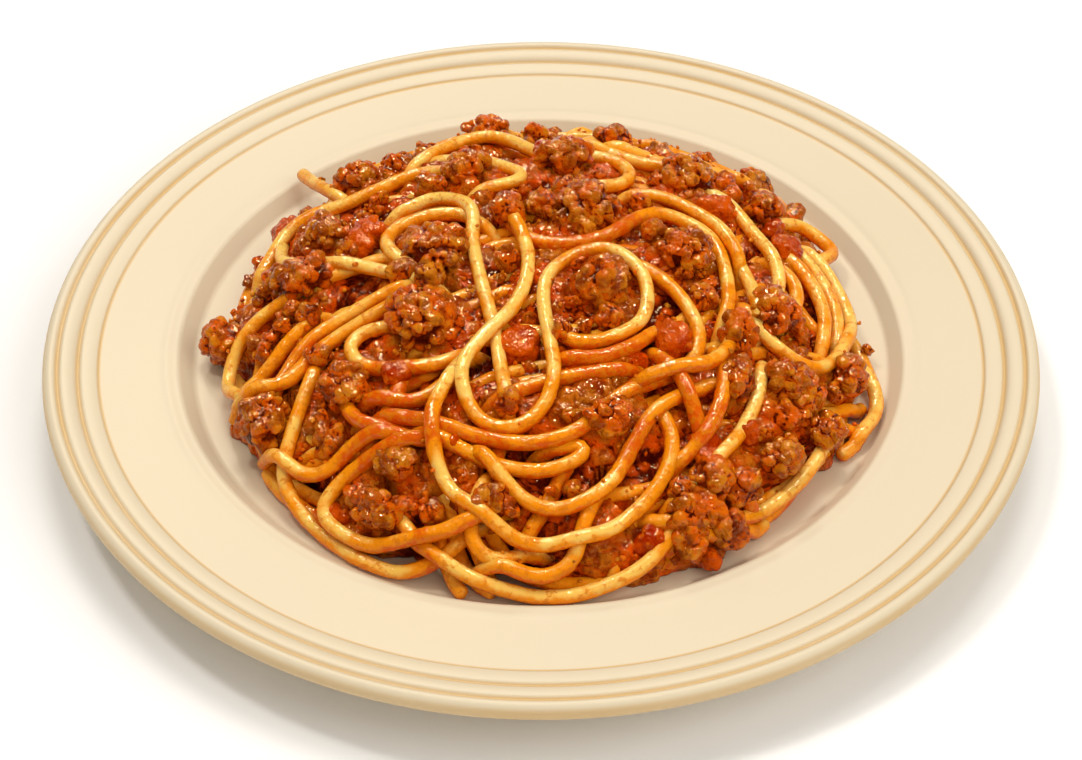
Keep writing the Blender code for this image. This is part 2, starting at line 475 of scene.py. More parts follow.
def fill_heap(total, ceiling, limit, region=None, coats=(0.1, 0.6)):
    """Lays noodles in the lowest places until they have the given length in all.

    ceiling is how high they may lie against the heap's outline, and limit is how near to its edge
    they come, where 1 is the edge itself. region keeps them to a part of the heap.
    """
    laid = 0.0
    attempts = 0
    while laid < total and attempts < MOST_ATTEMPTS:
        attempts += 1
        best, best_room = None, -1e9
        for _ in range(ROUTES_TRIED):
            turn = RNG.uniform(0, 2 * math.pi)
            out = math.sqrt(RNG.uniform(0.02, 0.93))
            start = CENTRE + HALF * out * np.array([math.cos(turn), math.sin(turn)])
            if region is not None and not region(*start):
                continue
            length = RNG.uniform(55, 150)
            route = wander(start, RNG.uniform(0, 2 * math.pi), length, limit)
            row, column = cells(route)
            room = dome(*route.T[:2]) - TOP[row, column]
            score = np.minimum(room, 9).mean() - 2.0 * (room < 2).mean()
            if score > best_room:
                best, best_room = route, score
        if best is None:
            continue
        strands = RNG.integers(1, 4)
        tone, coat = RNG.uniform(0.2, 0.9), RNG.uniform(*coats)
        for k in range(strands):
            offset = (k - (strands - 1) / 2) * STRAND_GAP
            offset = offset + 0.5 * grain(np.column_stack([best, best[:, :1]]), 22, attempts + k)
            route = shifted(best, offset)
            first, last = RNG.integers(0, 12), len(route) - RNG.integers(0, 12)
            route = resample(route[first:last], 1.0)
            if reach(*route.T[:2]).max() > 1.01:
                continue
            path = settle(route)
            high = path[:, 2] - dome(*path.T[:2])
            fits = high <= ceiling
            if region is not None:
                fits &= region(*path.T[:2])
            if not fits.all():
                runs = np.flatnonzero(np.diff(np.concatenate([[0], fits.astype(int), [0]])))
                if not len(runs):
                    continue
                pairs = runs.reshape(-1, 2)
                a, b = pairs[np.argmax(pairs[:, 1] - pairs[:, 0])]
                if b - a < SHORTEST:
                    continue
                path = path[a:b]
            path = dived(path[:, :2], path[:, 2], length=9, drop=0.08)
            lay(path, tone + RNG.uniform(-0.12, 0.12), coat + RNG.uniform(-0.1, 0.1))
            laid += len(path)


# ---- noodles on show

# How far the middles of the noodles on show lie below the heap's outline.
SHOWN_DEPTH = 3.0
# Each row: how clean the noodle is from 0 to 1, the sauce on it, its lift above that level (None lets
# it down onto what is under it), and the marks that it passes, across and away from the middle of
# the plate.
SHOWN = (
    (0.7, 0.3, 0, [(-68, 20), (-63, 30), (-57, 34.5), (-49, 35.5), (-41, 38.5), (-33, 42.5), (-25, 43),
      (-20, 40)]),
    (0.8, 0.2, 0, [(-24, 49), (-15, 47), (-8, 41.5), (-4.3, 38), (-6, 35), (-13, 32)]),
    (0.7, 0.3, 0, [(4, 52), (11, 50), (18, 47), (22, 42), (21, 36), (15, 33), (8, 33.5)]),
    (0.6, 0.3, 0, [(18, 53), (25, 49), (32, 47.5), (37, 43)]),
    (0.6, 0.3, 0, [(-49, 3), (-43, 5), (-38, 6), (-33, 4)]),
    (0.95, 0.1, 0, [(-64, 22), (-63.5, 17), (-60, 13.3), (-54, 8), (-47, 4), (-40, 1.5), (-33, -1.5),
      (-28, -4)]),
    (0.9, 0.1, 0, [(-32, 1), (-35.5, 4.5), (-37.3, 10), (-35.5, 16), (-31, 19.5), (-25, 21.3), (-19, 20.5),
      (-15, 17.5)]),
    (0.6, 0.3, None, [(-54, -11), (-59, -15.5), (-63, -20), (-67, -23.5)]),
    (0.7, 0.25, None, [(-56, 2), (-62, -1.5), (-68, -4.5), (-72.5, -9.5), (-74.3, -16), (-73.5, -23),
      (-69.5, -29), (-64, -32)]),
    (0.5, 0.35, 0, [(-33, -5), (-41, -9), (-48, -13), (-54, -17.5), (-57.5, -22), (-60.5, -27)]),
    (0.6, 0.35, 0, [(-30, -9), (-38, -13), (-46, -17), (-52, -21.5), (-56, -26), (-59.5, -30), (-64, -30)]),
    (0.3, 0.7, 0, [(-32, -34.5), (-33, -38), (-34.5, -42), (-37, -47)]),
    (0.8, 0.25, 0, [(-37, -18), (-42, -19), (-44.5, -23), (-42.5, -28), (-37, -31.8), (-30, -32.3),
      (-24, -31.3), (-19, -29)]),
    (0.6, 0.4, 0, [(-35, -41), (-30, -42.3), (-25.5, -40.5), (-22, -37)]),
    (0.7, 0.3, 0, [(-44, -40.5), (-42, -45), (-38, -48), (-32, -48.5)]),
    (0.85, 0.2, 0, [(-53, -28), (-55, -35), (-57.5, -43), (-59, -50), (-56, -56.5), (-51, -61.5),
      (-45, -66.5), (-38, -70.5), (-30, -73), (-22, -72.5), (-15, -69)]),
    (0.9, 0.2, 0, [(-59, -49), (-54, -53), (-49, -53.7), (-44, -51.5), (-38, -50.3), (-31, -51.5),
      (-24, -52)]),
    (0.9, 0.15, None, [(-31, -66), (-27, -70.5), (-22, -74), (-16, -76.4), (-9, -77.7), (0, -78.2),
      (9, -77.8), (17, -76.3), (23, -74), (28, -70), (31, -65)]),
    (0.8, 0.2, None, [(-13, -62), (-15, -66), (-15.7, -70), (-14, -73.5), (-10, -74.5), (-5, -73)]),
    (0.8, 0.3, None, [(11, -66), (9, -70), (7.5, -74), (3, -76.3), (-3, -76.7), (-8, -76)]),
    (0.85, 0.25, 0, [(-29, -53.5), (-36, -54.3), (-43, -55.5), (-48, -58.5), (-49.5, -61), (-46.5, -64.5),
      (-40, -68), (-33, -70), (-26, -71), (-19.5, -70.8), (-14, -69)]),
    (0.9, 0.15, 0, [(-24, -53), (-17, -55.5), (-9, -58.7), (0, -59.5), (6, -58), (10, -55.5), (9.5, -53.5),
      (5, -54)]),
    (0.75, 0.3, 0, [(-32, -47), (-26, -49.5), (-22, -51), (-11, -53), (0, -54.3), (7, -52.3), (13, -46.7),
      (19, -40.3), (26, -36.5), (32.5, -32), (36, -26), (36.8, -20), (35, -13), (31, -6.5), (25, -1),
      (21, 1)]),
    (0.95, 0.1, 0, [(-19, -33), (-22.5, -41), (-24.5, -50), (-23.5, -58), (-19, -65), (-11, -70.5),
      (-3, -72.7), (6, -72.7), (14, -71), (20, -67), (25.5, -62), (29, -56), (29.5, -50), (27.5, -45)]),
    (0.95, 0.15, 0, [(-12, -58.5), (-7, -63.5), (0, -67), (7, -67), (12.5, -64.5), (17, -59.5),
      (20.5, -53.5), (25, -46.5), (31, -41), (37, -36.5), (42, -34)]),
    (0.7, 0.3, None, [(26, -67), (33, -68.5), (39, -67.3), (44.5, -64.5)]),
    (0.8, 0.25, None, [(36, -67), (43, -64), (51, -59.5), (58, -53), (63, -46), (66, -40)]),
    (0.4, 0.6, 0, [(28, -30), (31, -35.5), (33.5, -41), (35, -46), (38, -52), (43, -57)]),
    (0.7, 0.4, 0, [(41, -28), (42, -33), (41.5, -39), (40, -44), (37.5, -50), (33, -54)]),
    (0.8, 0.25, 0, [(27, -37), (33, -35.3), (38.5, -33), (42, -28.5), (43.5, -24)]),
    (0.95, 0.1, 0, [(51, -29), (50, -35), (47.5, -42), (43.5, -50), (38.5, -56.5), (32.5, -61.5)]),
    (0.85, 0.2, None, [(74, -9), (78, -13), (79.8, -20), (78.5, -27), (75.5, -32)]),
    (0.7, 0.2, 0, [(60, 15), (64, 9.5), (67, 3), (68, -4), (67, -11)]),
    (0.8, 0.2, 0, [(62, 19), (66, 14), (69.5, 7.5), (71.3, 0), (70.8, -7)]),
    (0.9, 0.15, 0, [(49, -11), (52.5, -17.5), (58, -22), (63.5, -23.5), (68, -19.5), (72, -12), (74.5, -4),
      (74.5, 4), (72.5, 11), (69.5, 17), (66, 21)]),
    (0.9, 0.15, None, [(60, 34), (66, 37), (72, 33), (73, 28), (70, 24)]),
    (0.7, 0.25, 0, [(56, 9), (59.5, 6), (61.3, 1), (60.5, -5), (58, -10)]),
    (1.0, 0.05, 0, [(41, 37), (46, 33), (50, 25), (53.5, 17), (56, 9.5), (57, 2), (56, -4)]),
    (1.0, 0.05, 0, [(44.5, 17), (46.8, 10), (49, 3), (50.5, -4), (51, -10)]),
    (0.7, 0.25, 0, [(24, 31), (29, 30.5), (35, 27), (40, 22.5), (44, 16.5), (46.5, 10)]),
    (0.75, 0.3, 0, [(-6, 15), (-3, 10), (3, 8), (10, 8), (16, 11), (21.5, 17), (27, 22.5), (31, 23),
      (36, 20.5), (40.5, 16), (43, 9), (44.3, 0), (44.3, -8), (43, -14)]),
    (0.8, 0.2, 2.5, [(-31, 48), (-26, 54), (-20, 60), (-14, 62), (-8, 58), (-3, 51), (1, 46)]),
    (0.4, 0.6, 0, [(8, -31.2), (12, -31.5), (16, -30), (21, -27), (25, -22.5)]),
    (0.4, 0.5, 0, [(-7, -41.5), (-2.5, -39.5), (4, -37.3), (10, -36), (17, -34.3)]),
    (1.0, 0.05, 0, [(-33, 27), (-27, 29.5), (-21, 26.5), (-16.5, 19), (-16.5, 10), (-15, -1), (-12.5, -13),
      (-10.5, -23), (-9.3, -33), (-8.3, -41)]),
    (1.0, 0.05, 1.3, [(-8, 20), (-5, 11), (-3, 2), (-4, -9), (-8, -19), (-14, -27), (-18, -35), (-17, -43),
      (-12, -50), (-5, -50.5), (1, -45), (3, -37), (2, -26), (0.5, -13), (2, -4), (8, 2.5), (15, 4.5),
      (20, 0.5), (24, -4.5), (25, -12), (23, -19.5), (16, -25), (9, -27), (4.5, -24.5)]),
)
# Where sauce lies thick on noodles: across, away, radius and strength.
SAUCED = (
    (21, -53, 7, 0.9), (-12, -52, 9, 0.8), (-33, -32, 5, 1.0), (-54, -24, 5, 0.8), (-29, -52, 7, 0.8),
    (-36, -54, 7, 0.8), (6, 9, 11, 0.9), (22, 18, 8, 0.7), (-34, -40, 8, 0.8), (36, -48, 8, 0.8),
    (-25, -71, 5, 0.6), (12, -34, 11, 0.7),
)
# The noodle end that sticks out over the well, from its root to its tip.
FREE_END = [(-46, 36, 25.3), (-50, 41, 25.3), (-54, 46, 23.6), (-58, 53, 20.6), (-61.5, 60, 18.0)]


def leaning(y):
    """The heap's front reaches further out than its sides, so what lies there moves with it."""
    return y - 4.7 * np.clip((-45 - y) / 32, 0, 1.1) ** 2.2


def mark(points, radius):
    """Notes where a noodle on show lies, so that few granules cover it."""
    under, _ = footprint(points, radius)
    np.minimum.at(SHOWN_LEVEL, under, points[:, 2:3])


def on_show(places, margin=0.0):
    """Share of the ground under each place that noodles on show take up."""
    under, _ = footprint(places, margin + CELL)
    return (SHOWN_LEVEL[under] < UNCOVERED).mean(axis=1)


def dived(route, height, length=8, drop=0.12):
    """The route with each end carried on, down into the heap."""
    runs = []
    for end, before in ((0, 3), (-1, -4)):
        ahead = unit(route[end] - route[before])
        inwards = unit(CENTRE - route[end])
        k = np.arange(1, length + 1)[:, None]
        level = height[end] - drop * k[:, 0] ** 2
        runs.append(np.column_stack([route[end] + ahead * k + inwards * 0.02 * k**2, level]))
    start, finish = runs
    path = np.concatenate([start[::-1], np.column_stack([route, height]), finish])
    path[:, 2] = np.maximum(path[:, 2], lowest(path))
    return path


def lay_shown():
    for tone, coat, lift, marks in SHOWN:
        route = flowing([(x, leaning(y)) for x, y in marks])
        floor = None if lift is None else dome(*route.T[:2]) - SHOWN_DEPTH + lift
        path = settle(route, floor, taut=30)
        path = dived(path[:, :2], path[:, 2])
        lay(path, tone, coat)
        mark(path, NOODLE_RADIUS + 0.4)
    tip = smoothed(flowing([place[:2] for place in FREE_END]), 4)
    height = np.interp(
        np.linspace(0, 1, len(tip)), np.linspace(0, 1, len(FREE_END)), [place[2] for place in FREE_END]
    )
    lay(np.column_stack([tip, smoothed(height, 6)]), 0.75, 0.2)


# ---- noodle meshes


def frames(path):
    """Two directions across a path at each of its points, which turn as little as they can."""
    ahead = unit(np.gradient(path, axis=0))
    across = np.empty_like(path)
    current = np.cross(ahead[0], (0.0, 0.0, 1.0))
    for k, way in enumerate(ahead):
        current = current - way * current.dot(way)
        current = current / max(np.linalg.norm(current), 1e-9)
        across[k] = current
    return across, np.cross(ahead, across)


def noodle_rings(path):
    """The path with its rounded cut ends, and the scale of the radius at each ring."""
    ahead = unit(np.gradient(path, axis=0))
    ends = ((0.45, 0.62), (0.28, 0.86))
    start = [path[0] - ahead[0] * NOODLE_RADIUS * out for out, _ in ends]
    finish = [path[-1] + ahead[-1] * NOODLE_RADIUS * out for out, _ in reversed(ends)]
    sizes = [size for _, size in ends]
    scale = np.concatenate([sizes, np.ones(len(path)), sizes[::-1]])
    return np.concatenate([start, path, finish]), scale


class Strip:
    """A UV map on which noodles lie one after another, as runs of a long strip cut into rows."""

    def __init__(self, rings, sides, step):
        self.shape = step / (2 * math.pi * NOODLE_RADIUS)
        self.per_row = int(math.sqrt(rings * 1.06 / self.shape))
        self.rows = math.ceil(rings / self.per_row)
        self.sides, self.spent = sides, 0

    def run(self, count):
        """Corners of the quads between a noodle's rings."""
        ring = self.spent + np.arange(count)
        self.spent += count
        row, column = ring // self.per_row, ring % self.per_row
        end = column + np.where(column < self.per_row - 1, 1.04, 0.96)
        height = (row[:, None] + np.arange(self.sides + 1) / self.sides * 0.94 + 0.03) / self.rows
        low, high = height[:, :-1], height[:, 1:]
        left, right = (np.broadcast_to(x[:, None] / self.per_row, low.shape) for x in (column + 0.04, end))
        corners = ((left, low), (right, low), (right, high), (left, high))
        return np.stack([np.stack(corner, -1) for corner in corners], 2).reshape(-1, 4, 2)

    def cap(self):
        """Corners of the triangles that close a noodle's end."""
        row, column = self.spent // self.per_row, self.spent % self.per_row
        self.spent += 1
        angles = np.arange(self.sides + 1) / self.sides * 2 * math.pi
        middle = np.array([(column + 0.5) / self.per_row, (row + 0.5) / self.rows])
        reachable = 0.42 * np.array([1 / self.per_row, self.shape * 2 / self.rows])
        rim = middle + np.stack([np.cos(angles), np.sin(angles)], 1) * reachable
        return np.stack([rim[1:], np.repeat(middle[None], self.sides, 0), rim[:-1]], 1)


def sauce_on(surface, up_side, coat):
    """How thick the sauce is from 0 to 1: most where it is noted, and down a noodle's sides. The part on
    the sides is partly sauce that drains there and partly painted light: it leaves the top pale like a
    painted highlight and colours the lower sides like painted shade.
    """
    spread = np.zeros(len(surface))
    for x, y, size, strength in SAUCED:
        away = (surface[:, 0] - x) ** 2 + (surface[:, 1] - leaning(y)) ** 2
        spread += strength * np.exp(-(away / size**2))
    sauce = coat + 0.3 * grain(surface, 9, 3) + 0.25 * grain(surface, 3.6, 5) + spread
    # Sides that face down get more sauce colour: partly sauce draining, partly painted shade on the lower
    # sides and a pale painted highlight along the top.
    return np.clip(sauce + 0.55 * np.clip(0.8 - up_side, 0, 1.2) - 0.12, 0, 1)


def build_noodles(name, noodles, sides, step, finish):
    """One mesh of many noodles."""
    around = np.arange(sides) * 2 * math.pi / sides
    k, following = np.arange(sides), (np.arange(sides) + 1) % sides
    rods = [(*noodle_rings(resample(path, step)), tone, coat) for path, tone, coat in noodles]
    strip = Strip(sum(len(path) + 1 for path, *_ in rods), sides, step)
    points, coats, tones, quads, ends, runs, caps = ([] for _ in range(7))
    base = 0
    for number, (path, scale, tone, coat) in enumerate(rods):
        across, up = frames(path)
        ring = np.cos(around)[:, None] * across[:, None] + np.sin(around)[:, None] * up[:, None]
        flat = (path[:, None] + ring * NOODLE_RADIUS).reshape(-1, 3)
        sauce = sauce_on(flat, ring[..., 2].ravel(), coat)
        swell = 0.035 * grain(flat, 6, number % 50) + 0.02 * grain(flat, 1.7, 9)
        lumps = np.clip(grain(flat, 1.3, 21), 0.1, 1) * (0.03 + 0.26 * sauce**2) + 0.06 * sauce**2
        size = NOODLE_RADIUS * np.repeat(scale, sides) * (1 + swell + lumps)
        tube = np.repeat(path, sides, axis=0) + ring.reshape(-1, 3) * size[:, None]
        points += [tube, path[:1], path[-1:]]
        coats += [sauce, sauce[:1], sauce[-1:]]
        tones.append(np.full(len(tube) + 2, tone))
        start = base + np.arange(len(path) - 1)[:, None] * sides
        first, second = start + k, start + following
        quads.append(np.stack([first, first + sides, second + sides, second], -1).reshape(-1, 4))
        runs.append(strip.run(len(path) - 1))
        last, tip = base + len(tube) - sides, np.full(sides, base + len(tube))
        ends.append(np.stack([base + following, tip, base + k], -1))
        ends.append(np.stack([last + k, tip + 1, last + following], -1))
        caps += [strip.cap(), strip.cap()]
        base += len(tube) + 2
    values = {"coat": np.concatenate(coats), "tone": np.concatenate(tones)}
    polygons, corners = ([np.concatenate(part) for part in pair] for pair in ((quads, ends), (runs, caps)))
    mesh = make_mesh(name, np.concatenate(points), polygons, values, corners)
    return add_object(mesh, finish)


# ---- lumps


def sphere(detail):
    shape = bmesh.new()
    bmesh.ops.create_icosphere(shape, subdivisions=detail, radius=1.0)
    points = np.array([v.co for v in shape.verts])
    faces = np.array([[v.index for v in f.verts] for f in shape.faces])
    shape.free()
    return unit(points), faces


SPHERES = {detail: sphere(detail) for detail in (2, 3, 4, 5)}


class Heap:
    """Collects lumps into one mesh."""

    def __init__(self):
        self.points, self.faces, self.values = [], [], {}
        self.base = 0

    def add(self, points, faces, **values):
        self.points.append(points)
        self.faces.append(faces + self.base)
        for key, data in values.items():
            self.values.setdefault(key, []).append(np.broadcast_to(data, len(points)))
        self.base += len(points)

    def build(self, name, finish):
        values = {key: np.concatenate(data) for key, data in self.values.items()}
        mesh = make_mesh(name, np.concatenate(self.points), [np.concatenate(self.faces)], values)
        return add_object(mesh, finish)


def solid_frame(node):
    """Middle, axes and half sizes of a CAD solid, from its own points."""
    points = np.array([v.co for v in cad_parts[node].data.vertices]) / MM
    points = np.unique(np.round(points, 3), axis=0)
    middle = points.mean(axis=0)
    _, _, axes = np.linalg.svd(points - middle)
    along = (points - middle) @ axes.T
    low, high = along.min(axis=0), along.max(axis=0)
    middle = middle + ((low + high) / 2) @ axes
    return middle, axes, (high - low) / 2


def crumbled(half, detail, size=(1.1, 2.2)):
    """A lump of mince: the outline of many granules pressed together, in its own axes."""
    ways, faces = SPHERES[detail]
    mean = float(np.mean(half))
    seed = int(RNG.integers(0, 9999))
    looks = unit(bent(ways * mean, 0.9, 2.2, seed) / mean)
    outline = 1 + 0.22 * grain(ways * mean, mean * 0.9, seed + 7)
    shell = outline / np.sqrt(((looks / half) ** 2).sum(axis=1))
    area = 4 * math.pi * mean**2
    count = max(int(area / (math.pi * np.mean(size) ** 2) * 1.3), 9)
    heading = unit(RNG.normal(size=(count, 3)))
    radius = size[0] + (size[1] - size[0]) * RNG.uniform(0, 1, count) ** 1.6
    radius = radius * min(1.0, mean / 3.2)
    limit = 1 / np.sqrt(((heading / half) ** 2).sum(axis=1))
    limit = limit * (1 + 0.2 * grain(heading * mean, mean * 0.9, seed + 7))
    depth = np.clip(limit - radius * RNG.uniform(0.55, 1.05, count), 0.3, None)
    centres = heading * depth[:, None]
    along = looks @ centres.T
    inside = radius**2 - (centres**2).sum(axis=1) + along**2
    hit = np.where(inside > 0, along + np.sqrt(np.clip(inside, 0, None)), -9.0)
    hit = np.concatenate([hit, (shell * 0.74)[:, None]], axis=1)
    soft = 0.2
    top = hit.max(axis=1)
    out = top + soft * np.log(np.exp((hit - top[:, None]) / soft).sum(axis=1))
    owner = hit.argmax(axis=1)
    shades = np.append(RNG.uniform(0, 1, count), 0.2)
    points = ways * out[:, None] + seed % 97
    out = out + 0.32 * grain(points, 1.4, 31) + 0.16 * grain(points, 0.7, 32)
    # depth marks the creases between granules and the hollows under the lump's outline; the mince material
    # lets sauce gather there and paints shade there.
    second = np.sort(hit, axis=1)[:, -2]
    crease = np.clip(1 - (top - second) / 0.4, 0, 1)
    depth = np.clip(0.7 * (shell - out) / 1.8 + 0.75 * crease**1.4, 0, 1)
    return ways * out[:, None], faces, shades[owner], depth


def turned():
    """Axes turned by chance."""
    return np.array(Euler(RNG.uniform(-math.pi, math.pi, 3)).to_matrix())


def off_plate(points):
    """The points, raised where they would reach into the plate."""
    sunk = (plate_top(*points.T[:2]) + LUMP_GAP - points[:, 2]).max()
    return points + (0, 0, max(sunk, 0.0))


def heap_nodes(kind):
    return sorted(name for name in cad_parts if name.startswith(kind))


# Small lumps of mince on the heap besides the large ones: across, away and size.
SMALL_LUMPS = (
    (1, 24, 10), (-24.5, -66, 8), (-49, -46, 10), (7, -47, 6), (10, 14, 8), (28, 14, 8), (38, -8, 9),
    (62, -12, 9), (56, -39, 9), (-42, -60, 7), (-46, 10, 8), (-64, 10, 9), (-28, 36, 9), (46, 44, 9),
    (-30, 12, 7), (-8, 2, 8), (16, -18, 8), (-36, 50, 9), (-2, 62, 8), (30, 58, 9), (0, 72, 8),
    (-30, 64, 8), (42, 62, 8), (64, 42, 8), (62, -33, 10), (41, -66, 12), (33, -69, 12), (38, -59, 13),
    (-66, -16, 7), (14, -12, 7),
)
# Half length, half width and half height of such a lump, each as a share of its size.
LUMP_SHAPE = np.array([0.5, 0.42, 0.36])
# Lumps that lie over the ends of noodles: across, away and size.
COVERS = (
    (-8, 19.5, 10), (-52, -24, 7), (32, -62, 8), (67, -37, 8), (-27, -4, 9), (4.5, -25, 6),
    (-7.5, -45, 7), (6, 32, 8), (-21, 40, 8), (-30, -64, 7), (-55, -10, 8), (-33, -2, 8),
)


def build_mince(finish):
    heap = Heap()
    for node in heap_nodes("mince_clump"):
        middle, axes, half = solid_frame(node)
        detail = 5 if half.max() > 4.6 else 4
        points, faces, shade, depth = crumbled(half * 1.04, detail)
        heap.add(off_plate(middle + points @ axes), faces, tone=shade, depth=depth)
        stamp(np.array([middle]), float(half.min()) * 0.8)
    mince = heap.build("mince_lumps", finish)
    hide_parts(*heap_nodes("mince_clump"))
    small = Heap()
    for number, (x, y, size) in enumerate(COVERS + SMALL_LUMPS):
        y = float(leaning(y))
        free = number < len(COVERS) or size > 11
        if not free and on_show(np.array([[x, y]]), size * 0.45)[0] > 0.15:
            size = size * 0.6
        half = LUMP_SHAPE * size * RNG.uniform(0.9, 1.1, 3)
        points, faces, shade, depth = crumbled(half, 4, size=(1.0, 1.9))
        place = np.array([[x, y, 0.0]])
        normal = dome_normal(*place.T[:2])[0]
        top = float(dome(x, y))
        height = min(max(top - 2.0, contact(place, size * 0.3)[0] - size * 0.22), top)
        place = np.array([x, y, height]) - normal * 0.8
        small.add(off_plate(place + points @ turned()), faces, tone=shade, depth=depth)
    small.build("mince_small_lumps", finish)


# Small pieces of tomato besides the large ones: across, away and size.
SMALL_TOMATO = ((47.5, -46.5, 7), (37, -70, 7), (0, 48, 7), (-33, -34, 7), (-20, -54, 6), (57, 24, 7))


def build_tomato(finish):
    ways, faces = SPHERES[4]
    heap = Heap()
    rows = []
    for node in heap_nodes("tomato_piece"):
        middle, axes, half = solid_frame(node)
        edge = float(reach(*middle[:2])) > 0.85
        buried = math.hypot(middle[0] + 5, middle[1] + 27) < 7
        sunk = dome_normal(middle[:1], middle[1:2])[0] * (4.0 if buried else 3.0 if edge else 1.8)
        rows.append((middle - sunk, axes, half))
    for x, y, size in SMALL_TOMATO:
        y = float(leaning(y))
        height = float(dome(x, y)) - 1.2
        rows.append((np.array([x, y, height]), turned(), np.array([0.5, 0.4, 0.3]) * size))
    for number, (middle, axes, half) in enumerate(rows):
        shape = unit(ways) / (np.abs(ways) ** 2.3).sum(axis=1, keepdims=True) ** (1 / 2.3)
        points = shape * half
        place = bent(points + number * 13, 0.8, 3.0, 44)
        folds = 0.84 + 0.2 * grain(place, 3.4, 41) + 0.12 * grain(place, 1.5, 42)
        folds = folds + pebbles(place, 2.6, 45)[0] * 0.12
        points = points * folds[:, None]
        shade = 0.5 + 0.5 * grain(points + number * 5, 5, 43)
        heap.add(off_plate(middle + points @ axes), faces, tone=shade)
    tomato = heap.build("tomato_lumps", finish)
    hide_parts(*heap_nodes("tomato_piece"))


GRANULES = []


def scatter(count, size, chance, sink):
    """Granules dropped onto what lies there. chance says how likely a place is to keep one.

    sink is how far each sinks in, as a share of its radius.
    """
    turn = RNG.uniform(0, 2 * math.pi, count * 4)
    out = np.sqrt(RNG.uniform(0, 0.985**2, count * 4))
    places = CENTRE + (HALF * out[:, None]) * np.stack([np.cos(turn), np.sin(turn)], 1)
    radius = RNG.uniform(*size, count * 4)
    keep = chance(places) > RNG.uniform(0, 1, len(places))
    for place, r in list(zip(places[keep], radius[keep]))[:count]:
        spot = np.array([[place[0], place[1], 0.0]])
        height = contact(spot, r)[0] - r * sink
        bare = height < plate_top(*place) + 1.6
        if bare or r > 1 and height > dome(*place) - 0.4:
            continue
        spot[0, 2] = height
        stamp(spot, r * 0.9)
        GRANULES.append((spot[0], r))


def clear_ground(places):
    """Where the noodles on show leave room for the larger granules."""
    return on_show(places, GRANULE_MARGIN) <= SHARE_COVERED


def room_under(places):
    """How far below the heap's outline the surface lies."""
    row, column = cells(places)
    return dome(*places.T[:2]) - TOP[row, column]


def build_granules(name, granules, detail, finish):
    ways, faces = SPHERES[detail]
    heap = Heap()
    for number, (place, radius) in enumerate(granules):
        if radius > 1.15:
            half = radius * RNG.uniform(0.8, 1.3, 3)
            shape, _, shade, depth = crumbled(half, detail, size=(0.7, 1.5))
        else:
            shape = ways * RNG.uniform(0.7, 1.3, 3)
            lumps = 1 + 0.35 * grain(shape * 1.6 + number * 3.1, 1.0, 51)
            shape = shape * lumps[:, None] * radius
            shade, depth = RNG.uniform(0, 1), 0.2
        heap.add(off_plate(place + shape @ turned()), faces, tone=shade, depth=depth)
    heap.build(name, finish)


# Where mince lies between the noodles as broad ground: across, away and radius.
MINCE_GROUND = (
    (54, -36, 17), (62, -22, 12), (44, -54, 12), (-58, -36, 10), (-42, -61, 10), (16, -8, 10),
    (-26, 0, 12),
)


def mass_inset(x0, y0):
    """How far the mass of mince and sauce lies inside the heap's outline: least round the lumps."""
    flat = np.column_stack([x0, y0, np.zeros_like(x0)])
    high = np.clip(0.35 + 0.75 * grain(flat, 15, 71) + 0.3 * grain(flat, 7, 72), 0, 1)
    for node in heap_nodes("mince_clump"):
        low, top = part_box(node)
        middle = (low + top) / 2 / MM
        wide = (top - low).length / MM * 0.5
        high = np.maximum(high, np.exp(-((np.hypot(x0 - middle.x, y0 - middle.y) / wide) ** 2)))
    for x, y, wide in MINCE_GROUND:
        high = np.maximum(high, 0.95 * np.exp(-((np.hypot(x0 - x, y0 - y) / wide) ** 2)))
    edge = np.clip((reach(x0, y0) - 0.86) / 0.12, 0, 1)
    return 8.2 - 5.4 * high + 2.5 * edge * (1 - high)


